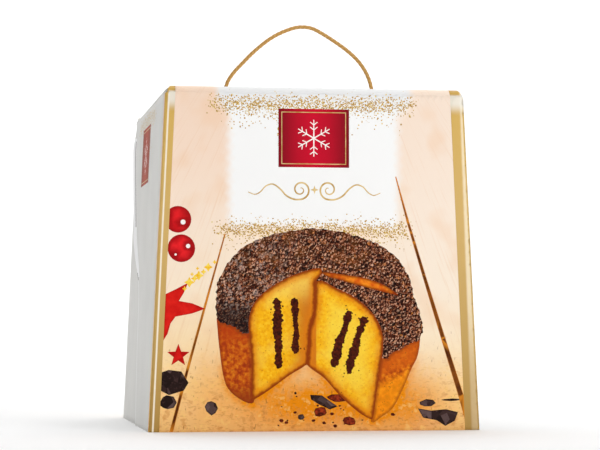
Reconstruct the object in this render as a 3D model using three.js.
// A tapered gift carton for a panettone: walls, lid and base folded from printed board, a cord handle
// held in the lid, and inside it the loaf in the paper case that it was baked in. The front and the
// back stand upright, and the two sides lean towards each other.
//
// Millimetres, +Z up. The origin is the middle of the base, on the surface that the carton stands on.
// The front is at -Y, and +X is on the right of someone who faces the front.
//
// The board is one blank, cut and creased. Each panel between two creases is a mesh of its own,
// because the lid, its tuck flap and the two dust flaps turn at their creases.

import * as THREE from "three";

// The carton's outside.
const BASE_WIDTH = 200;
const TOP_WIDTH = 181;
const DEPTH = 200;
const HEIGHT = 205;
const BOARD = 0.8;
const GAP = 0.3; // left between pieces that touch

// A fold's axis lies in the middle of the board, and the two panels stop this short of it.
const CREASE = BOARD / 2 + GAP;

// The lid turns at the top of the front wall. Its tuck flap leans inwards, so that it clears the back
// wall when the lid swings up.
const LID_SIDE_SETBACK = BOARD;
const TUCK_LENGTH = 28;
const TUCK_SIDE_SETBACK = 4;
const TUCK_CORNER = 14;
const TUCK_LEAN = THREE.MathUtils.degToRad(10);

// The dust flaps lie under the lid. Their slanted front ends let the lid rise ahead of them.
const DUST_DEPTH = 38;
const DUST_FRONT_END = 95;
const DUST_FRONT_SLANT = 24;
const DUST_REAR_END = 90;
const DUST_REAR_SLANT = 10;
const DUST_CORNER = 5;

// The left wall is two laps glued together. The outer one is joined to the front wall, and its free
// edge runs up the middle of the wall and then sweeps back to the rear corner.
const LAP_FOOT = 6;
const LAP_BEND = { across: -12, up: 76 };
const LAP_MEETS_REAR = 188;
const INNER_LAP_REACH = 35;

// The base: two large flaps that hook into each other, over them two side flaps.
const HOOK_OFFSET = 18;
const HOOK_RUN = 16;
const SIDE_FLAP_DEPTH = 78;
const SIDE_FLAP_SLANT = 52;
const FLAP_CORNER = 6;

// The handle: a cord through two holes in the lid, with a small bar on each end that can't pull through.
const CORD_DIAMETER = 2.4;
const CORD_SIDES = 8;
const CORD_STEPS = 36;
const HOLE_SPACING = 94;
const HANDLE_FROM_FRONT = 62;
const BAR_DIAMETER = 2.6;
const BAR_LENGTH = 13;
// The arch of the cord: how far to the right of the middle, and how high above the lid.
const CORD_ARCH = [
  [-47, -0.8], [-47, 2], [-46.4, 5.5], [-44.8, 10.5], [-40.8, 16.3], [-35.5, 22], [-30.3, 27.4],
  [-25, 32.2], [-19.7, 36.4], [-14, 40], [-7.7, 42.9], [-1.8, 44.8], [3.8, 45.2], [9, 44.2],
  [15, 41.2], [22.2, 36.8], [29.8, 31.6], [36.5, 25.8], [41.4, 19.6], [44.7, 13], [46.5, 6.2],
  [47, 2], [47, -0.8],
];

// The paper case, and the loaf that rose above it.
const CASE_FOOT_RADIUS = 81;
const CASE_RIM_RADIUS = 84;
const CASE_HEIGHT = 95;
const PAPER = 0.6;
const LOAF_CROWN = 164;
const LOAF_BULGE = 4;
const ROUND_SEGMENTS = 56;

// How far a side wall leans in for each millimetre of height.
const LEAN = (BASE_WIDTH - TOP_WIDTH) / 2 / HEIGHT;
const halfWidthAt = (height) => BASE_WIDTH / 2 - LEAN * height;

const printedBoard = { color: 0xf3e6d3, roughness: 0.42, metalness: 0 };
const whiteBoard = { color: 0xe4e2dd, roughness: 0.5, metalness: 0 };
const rawBoard = { color: 0xd8d0c2, roughness: 0.85, metalness: 0 };
const goldCord = { color: 0xb98d4b, roughness: 0.55, metalness: 0.1 };
const brass = { color: 0xc9a455, roughness: 0.35, metalness: 1 };
const brownPaper = { color: 0x7a4a2a, roughness: 0.8, metalness: 0 };
const crust = { color: 0x4a2413, roughness: 0.75, metalness: 0 };

const carton = new THREE.Group();

function addPiece(name, geometry, finish, parent = carton) {
  const mesh = new THREE.Mesh(geometry, new THREE.MeshStandardMaterial(finish));
  mesh.name = name;
  parent.add(mesh);
  return mesh;
}

// A closed outline through corners [across, up, radius], each rounded off by its radius if it has one.
function outline(corners) {
  const shape = new THREE.Shape();
  const points = corners.map(([across, up]) => new THREE.Vector2(across, up));
  corners.forEach(([, , radius = 0], i) => {
    const corner = points[i];
    const before = points.at(i - 1).clone().sub(corner).setLength(radius).add(corner);
    const after = points[(i + 1) % points.length].clone().sub(corner).setLength(radius).add(corner);
    if (i === 0) {
      shape.moveTo(before.x, before.y);
    } else {
      shape.lineTo(before.x, before.y);
    }
    if (radius > 0) {
      shape.quadraticCurveTo(corner.x, corner.y, after.x, after.y);
    }
  });
  shape.closePath();
  return shape;
}

function boardFrom(shape) {
  return new THREE.ExtrudeGeometry(shape, { depth: BOARD, bevelEnabled: false, curveSegments: 6 });
}

// ---- Walls ----
// A wall's outline is drawn across and up. The board then stands with its outer face this far out in
// front of the middle at its foot, and leans inwards by this much for each millimetre of height.
function wallBoard(shape, outerFace, lean) {
  const standAndLean = new THREE.Matrix4().set(
    1, 0, 0, 0,
    0, lean, -1, BOARD - outerFace,
    0, 1, 0, 0,
    0, 0, 0, 1,
  );
  return boardFrom(shape).applyMatrix4(standAndLean);
}

// The four sides, as quarter turns from the front.
const side = {};
["front", "right", "back", "left"].forEach((name, quarter) => {
  side[name] = new THREE.Group();
  side[name].rotation.z = (quarter * Math.PI) / 2;
  carton.add(side[name]);
});

// Heights of the two levels of folds at the top: the lid's, and the dust flaps' just under it.
const LID_FOLD = HEIGHT - BOARD / 2;
const DUST_FOLD = LID_FOLD - BOARD - GAP;

function frontOrBack(top) {
  const foot = halfWidthAt(0);
  const head = halfWidthAt(top);
  return outline([[-foot, 0], [foot, 0], [head, top], [-head, top]]);
}

// A side wall stands between the front and the back wall.
const betweenWalls = DEPTH / 2 - BOARD - GAP;
const SIDE_TOP = DUST_FOLD - CREASE;

addPiece("front_panel", wallBoard(frontOrBack(LID_FOLD - CREASE), DEPTH / 2, 0), printedBoard, side.front);
addPiece("back_panel", wallBoard(frontOrBack(HEIGHT), DEPTH / 2, 0), printedBoard, side.back);

const rightWall = outline([
  [-betweenWalls, 0],
  [betweenWalls, 0],
  [betweenWalls, SIDE_TOP],
  [-betweenWalls, SIDE_TOP],
]);
addPiece("right_side_panel", wallBoard(rightWall, BASE_WIDTH / 2, LEAN), whiteBoard, side.right);

// On the left wall, across runs from the rear corner to the front one.
const outerLap = new THREE.Shape();
outerLap.moveTo(betweenWalls, 0);
outerLap.lineTo(betweenWalls, SIDE_TOP);
outerLap.lineTo(-betweenWalls, SIDE_TOP);
outerLap.lineTo(-betweenWalls, LAP_MEETS_REAR);
outerLap.bezierCurveTo(
  -betweenWalls + 14, LAP_MEETS_REAR - 34,
  LAP_BEND.across - 6, LAP_BEND.up + 26,
  LAP_BEND.across, LAP_BEND.up,
);
outerLap.lineTo(LAP_FOOT, 0);
outerLap.closePath();
addPiece("left_outer_lap", wallBoard(outerLap, BASE_WIDTH / 2, LEAN), whiteBoard, side.left);

const innerLap = outline([
  [-betweenWalls, 0],
  [INNER_LAP_REACH, 0],
  [INNER_LAP_REACH, SIDE_TOP],
  [-betweenWalls, SIDE_TOP],
]);
const innerFace = BASE_WIDTH / 2 - BOARD - GAP;
addPiece("left_inner_lap", wallBoard(innerLap, innerFace, LEAN), whiteBoard, side.left);

// ---- Lid and tuck flap ----
// Both folds run from side to side. The lid lies flush with the top edge of the back wall.
const FRONT_FOLD = BOARD / 2 - DEPTH / 2;
const TUCK_FOLD = DEPTH / 2 - BOARD - GAP - BOARD / 2;
const HANDLE_Y = HANDLE_FROM_FRONT - DEPTH / 2;

const lidHalf = TOP_WIDTH / 2 - LID_SIDE_SETBACK;
const lidShape = outline([
  [-lidHalf, FRONT_FOLD + CREASE],
  [lidHalf, FRONT_FOLD + CREASE],
  [lidHalf, TUCK_FOLD - CREASE],
  [-lidHalf, TUCK_FOLD - CREASE],
]);
for (const across of [-HOLE_SPACING / 2, HOLE_SPACING / 2]) {
  const hole = new THREE.Path();
  hole.absarc(across, HANDLE_Y, CORD_DIAMETER / 2 + GAP, 0, 2 * Math.PI);
  lidShape.holes.push(hole);
}
addPiece("lid_panel", boardFrom(lidShape), printedBoard).position.z = HEIGHT - BOARD;

const tuckHalf = lidHalf - TUCK_SIDE_SETBACK;
const tuckShape = outline([
  [-tuckHalf, -CREASE],
  [-tuckHalf, -TUCK_LENGTH, TUCK_CORNER],
  [tuckHalf, -TUCK_LENGTH, TUCK_CORNER],
  [tuckHalf, -CREASE],
]);
const tuckFlap = addPiece("tuck_flap", boardFrom(tuckShape).translate(0, 0, -BOARD / 2), printedBoard);
tuckFlap.position.set(0, TUCK_FOLD, LID_FOLD);
tuckFlap.rotation.x = Math.PI / 2 - TUCK_LEAN;

// ---- Dust flaps ----
// Each lies on a side's own group: across along the wall, up pointing into the carton. towardsFront
// is 1 where the wall's across runs to the front, and -1 where it runs to the back.
function dustFlap(name, onSide, towardsFront) {
  const flap = outline([
    [towardsFront * DUST_FRONT_END, CREASE],
    [-towardsFront * DUST_REAR_END, CREASE],
    [-towardsFront * (DUST_REAR_END - DUST_REAR_SLANT), DUST_DEPTH, DUST_CORNER],
    [towardsFront * (DUST_FRONT_END - DUST_FRONT_SLANT), DUST_DEPTH, DUST_CORNER],
  ]);
  const mesh = addPiece(name, boardFrom(flap), rawBoard, onSide);
  mesh.position.set(0, -(halfWidthAt(DUST_FOLD) - BOARD / 2), DUST_FOLD - BOARD / 2);
}
dustFlap("left_dust_flap", side.left, 1);
dustFlap("right_dust_flap", side.right, -1);

// ---- Base ----
// The front and back flaps share one level. Their edges are alike and hook into each other.
const floorHalf = BASE_WIDTH / 2 - 2 * (BOARD + GAP);
for (const name of ["front", "back"]) {
  const edge = -GAP / 2;
  const hooked = outline([
    [-floorHalf, -floorHalf],
    [floorHalf, -floorHalf],
    [floorHalf, edge - HOOK_OFFSET],
    [HOOK_RUN, edge - HOOK_OFFSET, FLAP_CORNER],
    [-HOOK_RUN, edge + HOOK_OFFSET, FLAP_CORNER],
    [-floorHalf, edge + HOOK_OFFSET],
  ]);
  addPiece(`base_${name}_flap`, boardFrom(hooked), rawBoard, side[name]);
}
for (const name of ["left", "right"]) {
  const flap = outline([
    [-floorHalf, -floorHalf],
    [floorHalf, -floorHalf],
    [floorHalf - SIDE_FLAP_SLANT, SIDE_FLAP_DEPTH - floorHalf, FLAP_CORNER],
    [SIDE_FLAP_SLANT - floorHalf, SIDE_FLAP_DEPTH - floorHalf, FLAP_CORNER],
  ]);
  addPiece(`base_${name}_flap`, boardFrom(flap), rawBoard, side[name]).position.z = BOARD + GAP;
}

// ---- Handle ----
const section = new THREE.Shape();
section.absarc(0, 0, CORD_DIAMETER / 2, 0, 2 * Math.PI);
const arch = CORD_ARCH.map(([across, up]) => new THREE.Vector3(across, HANDLE_Y, HEIGHT + up));
const cordTube = new THREE.ExtrudeGeometry(section, {
  steps: CORD_STEPS,
  curveSegments: CORD_SIDES,
  extrudePath: new THREE.CatmullRomCurve3(arch),
});
addPiece("handle_cord", cordTube, goldCord);

for (const [name, across] of [["left", -HOLE_SPACING / 2], ["right", HOLE_SPACING / 2]]) {
  const bar = new THREE.CapsuleGeometry(BAR_DIAMETER / 2, BAR_LENGTH - BAR_DIAMETER, 4, 12);
  const level = HEIGHT - BOARD - GAP - BAR_DIAMETER / 2;
  addPiece(`${name}_cord_bar`, bar, brass).position.set(across, HANDLE_Y, level);
}

// ---- Loaf and its paper case ----
function turned(name, profile, finish) {
  const points = profile.map(([radius, height]) => new THREE.Vector2(radius, height));
  const mesh = addPiece(name, new THREE.LatheGeometry(points, ROUND_SEGMENTS), finish);
  mesh.rotation.x = Math.PI / 2;
  return mesh;
}
const CASE_FLOOR = 2 * (BOARD + GAP);
turned("baking_case", [
  [0, 0],
  [CASE_FOOT_RADIUS, 0],
  [CASE_RIM_RADIUS, CASE_HEIGHT],
  [CASE_RIM_RADIUS - PAPER, CASE_HEIGHT],
  [CASE_FOOT_RADIUS - PAPER, PAPER],
  [0, PAPER],
], brownPaper).position.z = CASE_FLOOR;

// The dome is a quarter of a superellipse, flatter on top than a circle, above a short straight rise
// out of the case.
const DOME_RADIUS = CASE_RIM_RADIUS + LOAF_BULGE;
const DOME_FOOT = CASE_HEIGHT + 10;
const DOME_HEIGHT = LOAF_CROWN - CASE_FLOOR - DOME_FOOT;
const DOME_STEPS = 14;
const DOME_FULLNESS = 0.82;
const dome = Array.from({ length: DOME_STEPS + 1 }, (_, step) => {
  const angle = (step / DOME_STEPS) * (Math.PI / 2);
  const out = Math.max(Math.cos(angle), 0) ** DOME_FULLNESS;
  return [step === DOME_STEPS ? 0 : DOME_RADIUS * out, DOME_FOOT + DOME_HEIGHT * Math.sin(angle)];
});
turned("panettone_loaf", [
  [0, PAPER + GAP],
  [CASE_FOOT_RADIUS - PAPER - GAP, PAPER + GAP],
  [CASE_RIM_RADIUS - PAPER - GAP, CASE_HEIGHT],
  [CASE_RIM_RADIUS + LOAF_BULGE / 2, CASE_HEIGHT + GAP],
  ...dome,
], crust).position.z = CASE_FLOOR;

export default carton;
